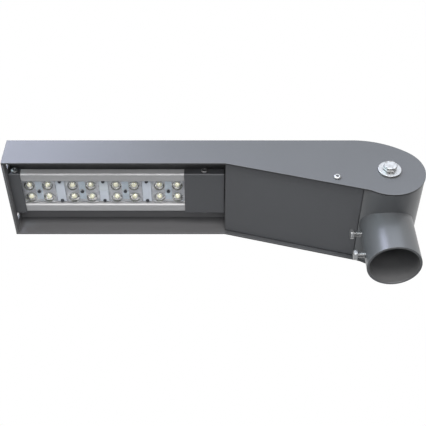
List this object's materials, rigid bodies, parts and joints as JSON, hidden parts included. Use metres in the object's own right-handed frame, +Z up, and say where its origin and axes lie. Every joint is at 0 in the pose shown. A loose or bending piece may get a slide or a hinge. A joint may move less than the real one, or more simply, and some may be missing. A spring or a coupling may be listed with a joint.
{
  "type": "solar street lamp head",
  "caption": "Street lamp head: folded sheet housing with recessed lens arrays and a service cover, tilting on a drum knuckle with a pole spigot clamped by set bolts.",
  "frame": {"origin": "centre of the spigot's mouth on the pole axis", "axes": "+Z up along the pole, -X towards the lamp head's end, Y along the tilt axis"},
  "size_m": [0.5548, 0.1571, 0.169],
  "materials": {
    "paint": "fine-texture graphite grey powder coat",
    "aluminium": "extruded, lightly anodised",
    "zinc": "bright zinc plating",
    "black_screw": "black oxide",
    "board": "white solder mask",
    "lens": "clear moulded optic",
    "bridge": "white connector cover",
    "rubber": "black moulded rubber",
    "driver_case": "light grey potted case",
    "terminal": "dark nylon"
  },
  "bodies": {
    "spigot": {"spigot_knuckle": "paint", "drum_disc_near": "paint", "drum_disc_far": "paint", "pivot_sleeve": "zinc", "pole_stop": "paint"},
    "lamp_head": {"side_plate_near": "paint", "side_plate_far": "paint", "top_sheet": "paint", "end_plate": "paint", "mounting_tray": "paint", "bulkhead": "paint", "service_cover": "paint", "saddle_cover_left": "paint", "saddle_cover_right": "paint", "heat_sink": "aluminium", "led_board_1": "board", "led_board_2": "board", "led_board_3": "board", "led_board_4": "board", "lens_array_1": "lens", "lens_array_2": "lens", "lens_array_3": "lens", "lens_array_4": "lens", "board_bridge_1": "bridge", "board_bridge_2": "bridge", "board_bridge_3": "bridge", "lens_screw_1": "black_screw", "lens_screw_2": "black_screw", "lens_screw_3": "black_screw", "lens_screw_4": "black_screw", "bridge_screw_1": "black_screw", "bridge_screw_2": "black_screw", "bridge_screw_3": "black_screw", "bridge_screw_4": "black_screw", "bridge_screw_5": "black_screw", "bridge_screw_6": "black_screw", "saddle_screw_left_near": "zinc", "saddle_screw_left_far": "zinc", "saddle_screw_right_near": "zinc", "saddle_screw_right_far": "zinc", "cover_screw_near": "zinc", "cover_screw_far": "zinc", "led_driver": "driver_case", "driver_screw_1": "zinc", "driver_screw_2": "zinc", "terminal_block": "terminal", "lead_grommet": "rubber", "led_lead": "rubber", "pivot_bolt": "zinc", "pivot_washer_near": "zinc", "pivot_washer_far": "zinc", "pivot_nut": "zinc"},
    "upper_set_bolt": {"set_bolt_upper": "zinc"},
    "lower_set_bolt": {"set_bolt_lower": "zinc"}
  },
  "joints": [
    {"name": "head_tilt", "type": "hinge", "parent": "spigot", "child": "lamp_head", "pos_m": [0, 0, 0.1073], "axis": [0, 1, 0], "range_deg": [0, 90]},
    {"name": "upper_bolt_travel", "type": "slide", "parent": "spigot", "child": "upper_set_bolt", "axis": [1, 0, 0], "range_m": [-0.0045, 0.009]},
    {"name": "lower_bolt_travel", "type": "slide", "parent": "spigot", "child": "lower_set_bolt", "axis": [1, 0, 0], "range_m": [-0.0045, 0.009]}
  ]
}
